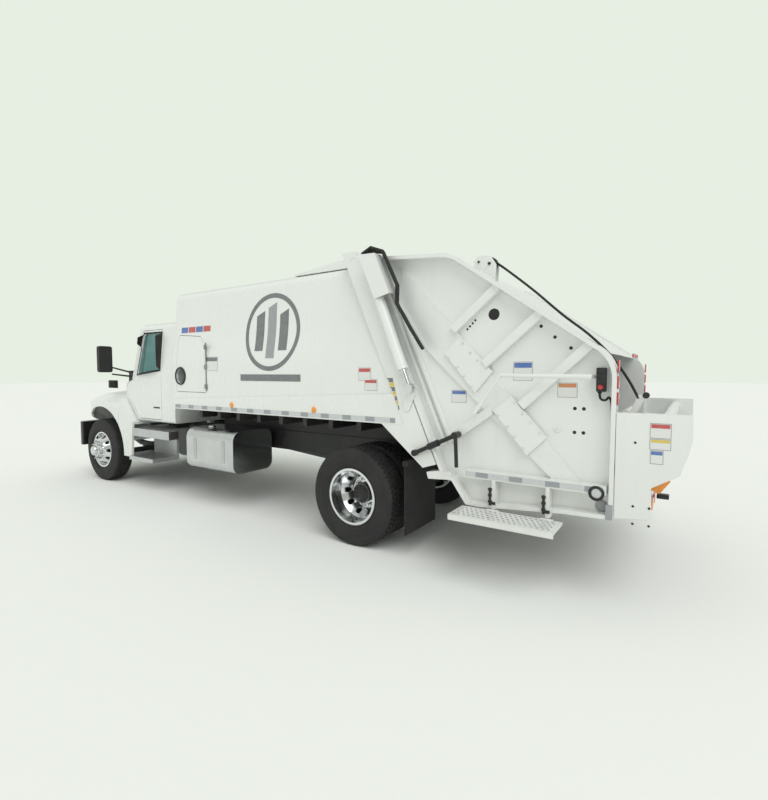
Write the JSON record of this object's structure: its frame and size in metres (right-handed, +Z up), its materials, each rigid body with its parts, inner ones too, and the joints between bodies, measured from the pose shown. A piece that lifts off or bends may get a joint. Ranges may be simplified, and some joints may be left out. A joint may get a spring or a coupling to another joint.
{
  "type": "rear-loading garbage truck",
  "caption": "White conventional-cab refuse truck with a barrel-sided load body, lifting rear hopper, sliding packer, folding steps and twin rear wheels.",
  "frame": {"origin": "on the ground under the middle of the object's box", "axes": "+X forward along the truck, +Y to its left, +Z up"},
  "size_m": [9.18, 3.0226, 3.0361],
  "materials": {
    "black_chassis": "satin black chassis paint",
    "engine_grey": "matt cast and painted",
    "white_paint": "gloss white paint",
    "tinted_glass": "tinted clear glass",
    "seat_fabric": "woven seat cloth",
    "black_plastic": "grained moulding",
    "step_aluminium": "polished aluminium",
    "exhaust_steel": "heat-stained steel",
    "black_rubber": "matt rubber",
    "polished_wheel": "polished wheel",
    "tyre_rubber": "moulded tread and sidewall",
    "worn_steel": "scoured by refuse",
    "black_steel": "black paint",
    "rod_chrome": "hard chrome"
  },
  "bodies": {
    "truck": {"frame_rails": "black_chassis", "front_bumper": "black_chassis", "powertrain": "engine_grey", "front_axle": "black_chassis", "rear_axle": "black_chassis", "leaf_springs": "black_chassis", "fender_extensions": "white_paint", "cab_shell": "white_paint", "cab_glass": "tinted_glass", "seats": "seat_fabric", "dashboard": "black_plastic", "mirrors": "black_plastic", "cab_steps": "step_aluminium", "fuel_tank": "step_aluminium", "side_boxes": "black_plastic", "exhaust_system": "exhaust_steel", "mudflaps": "black_rubber", "body_shell": "white_paint", "body_subframe": "black_chassis", "rear_frame": "white_paint"},
    "tilt_hood": {"hood": "white_paint", "grille": "step_aluminium"},
    "left_door": {"left_door": "white_paint", "left_door_glass": "tinted_glass"},
    "right_door": {"right_door": "white_paint", "right_door_glass": "tinted_glass"},
    "steering_wheel": {"steering_wheel": "black_plastic"},
    "left_knuckle": {"left_knuckle": "black_chassis"},
    "right_knuckle": {"right_knuckle": "black_chassis"},
    "tie_rod": {"tie_rod": "black_chassis"},
    "left_front_wheel": {"left_front_rim": "polished_wheel", "left_front_tyre": "tyre_rubber"},
    "right_front_wheel": {"right_front_rim": "polished_wheel", "right_front_tyre": "tyre_rubber"},
    "left_rear_wheels": {"left_rear_rims": "polished_wheel", "left_rear_tyres": "tyre_rubber"},
    "right_rear_wheels": {"right_rear_rims": "polished_wheel", "right_rear_tyres": "tyre_rubber"},
    "access_door": {"access_door": "white_paint"},
    "ejector": {"ejector_panel": "worn_steel"},
    "tailgate": {"tailgate_sides": "white_paint", "tailgate_cover": "white_paint", "hopper_tub": "white_paint", "hopper_wings": "white_paint", "grab_rails": "white_paint", "tailgate_clamps": "black_steel", "hinge_hoses": "black_rubber"},
    "carrier": {"slide_panel": "worn_steel"},
    "packer_blade": {"packer_blade": "worn_steel"},
    "left_lift_barrel": {"left_lift_barrel": "white_paint"},
    "left_lift_rod": {"left_lift_rod": "rod_chrome"},
    "right_lift_barrel": {"right_lift_barrel": "white_paint"},
    "right_lift_rod": {"right_lift_rod": "rod_chrome"},
    "left_side_step": {"left_side_step": "white_paint"},
    "right_side_step": {"right_side_step": "white_paint"}
  },
  "joints": [
    {"name": "hood_tilt", "type": "hinge", "parent": "truck", "child": "tilt_hood", "pos_m": [4.375, 0, 0.975], "axis": [0, 1, 0], "range_deg": [0, 55]},
    {"name": "left_door_swing", "type": "hinge", "parent": "truck", "child": "left_door", "pos_m": [3.02, 1.064, 1.555], "axis": [0, 0, -1], "range_deg": [0, 65]},
    {"name": "right_door_swing", "type": "hinge", "parent": "truck", "child": "right_door", "pos_m": [3.02, -1.064, 1.555], "axis": [0, 0, 1], "range_deg": [0, 65]},
    {"name": "left_steer", "type": "hinge", "parent": "truck", "child": "left_knuckle", "pos_m": [3.74, 0.92, 0.515], "axis": [0, 0, 1], "range_deg": [-33, 33]},
    {"name": "right_steer", "type": "hinge", "parent": "truck", "child": "right_knuckle", "pos_m": [3.74, -0.92, 0.515], "axis": [0, 0, 1], "range_deg": [-33, 33]},
    {"name": "tie_rod_shift", "type": "slide", "parent": "truck", "child": "tie_rod", "axis": [0, 1, 0], "range_m": [-0.12, 0.12]},
    {"name": "steering_wheel_turn", "type": "hinge", "parent": "truck", "child": "steering_wheel", "pos_m": [2.605, 0.52, 1.745], "axis": [-0.7431, 0, 0.6691], "range_deg": [-595, 595]},
    {"name": "left_front_spin", "type": "hinge", "parent": "left_knuckle", "child": "left_front_wheel", "pos_m": [3.74, 1.02, 0.515], "axis": [0, 1, 0], "continuous": true},
    {"name": "right_front_spin", "type": "hinge", "parent": "right_knuckle", "child": "right_front_wheel", "pos_m": [3.74, -1.02, 0.515], "axis": [0, 1, 0], "continuous": true},
    {"name": "left_rear_spin", "type": "hinge", "parent": "truck", "child": "left_rear_wheels", "pos_m": [-1.62, 0.91, 0.515], "axis": [0, 1, 0], "continuous": true},
    {"name": "right_rear_spin", "type": "hinge", "parent": "truck", "child": "right_rear_wheels", "pos_m": [-1.62, -0.91, 0.515], "axis": [0, 1, 0], "continuous": true},
    {"name": "access_door_swing", "type": "hinge", "parent": "truck", "child": "access_door", "pos_m": [1.502, 1.194, 1.904], "axis": [0, 0, -1], "range_deg": [0, 100]},
    {"name": "ejector_push", "type": "slide", "parent": "truck", "child": "ejector", "axis": [-1, 0, 0], "range_m": [0, 2.276]},
    {"name": "tailgate_lift", "type": "hinge", "parent": "truck", "child": "tailgate", "pos_m": [-1.65, 0, 2.93], "axis": [0, 1, 0], "range_deg": [0, 80]},
    {"name": "carrier_slide", "type": "slide", "parent": "tailgate", "child": "carrier", "axis": [-0.7001, 0, -0.7141], "range_m": [0, 0.52]},
    {"name": "blade_swing", "type": "hinge", "parent": "carrier", "child": "packer_blade", "pos_m": [-2.90555, 0, 1.95373], "axis": [0, 1, 0], "range_deg": [0, 92]},
    {"name": "left_lift_swing", "type": "hinge", "parent": "tailgate", "child": "left_lift_barrel", "pos_m": [-1.88, 1.255, 2.86], "axis": [0, 1, 0], "range_deg": [-80, 0]},
    {"name": "left_lift_extend", "type": "slide", "parent": "left_lift_barrel", "child": "left_lift_rod", "axis": [-0.3714, 0, -0.9285], "range_m": [0, 0.31]},
    {"name": "right_lift_swing", "type": "hinge", "parent": "tailgate", "child": "right_lift_barrel", "pos_m": [-1.88, -1.255, 2.86], "axis": [0, 1, 0], "range_deg": [-80, 0]},
    {"name": "right_lift_extend", "type": "slide", "parent": "right_lift_barrel", "child": "right_lift_rod", "axis": [-0.3714, 0, -0.9285], "range_m": [0, 0.31]},
    {"name": "left_step_fold", "type": "hinge", "parent": "tailgate", "child": "left_side_step", "pos_m": [-3.32, 1.2113, 0.622], "axis": [1, 0, 0], "range_deg": [0, 86]},
    {"name": "right_step_fold", "type": "hinge", "parent": "tailgate", "child": "right_side_step", "pos_m": [-3.32, -1.2113, 0.622], "axis": [-1, 0, 0], "range_deg": [0, 86]}
  ],
  "couplings": [
    {"joint": "right_steer", "follows": "left_steer", "ratio": 1},
    {"joint": "tie_rod_shift", "follows": "left_steer", "m_per_rad": -0.18},
    {"joint": "steering_wheel_turn", "follows": "left_steer", "ratio": 18},
    {"joint": "left_lift_swing", "follows": "tailgate_lift", "ratio": -1},
    {"joint": "left_lift_extend", "follows": "tailgate_lift", "m_per_rad": 0.2213},
    {"joint": "right_lift_swing", "follows": "tailgate_lift", "ratio": -1},
    {"joint": "right_lift_extend", "follows": "tailgate_lift", "m_per_rad": 0.2213}
  ]
}
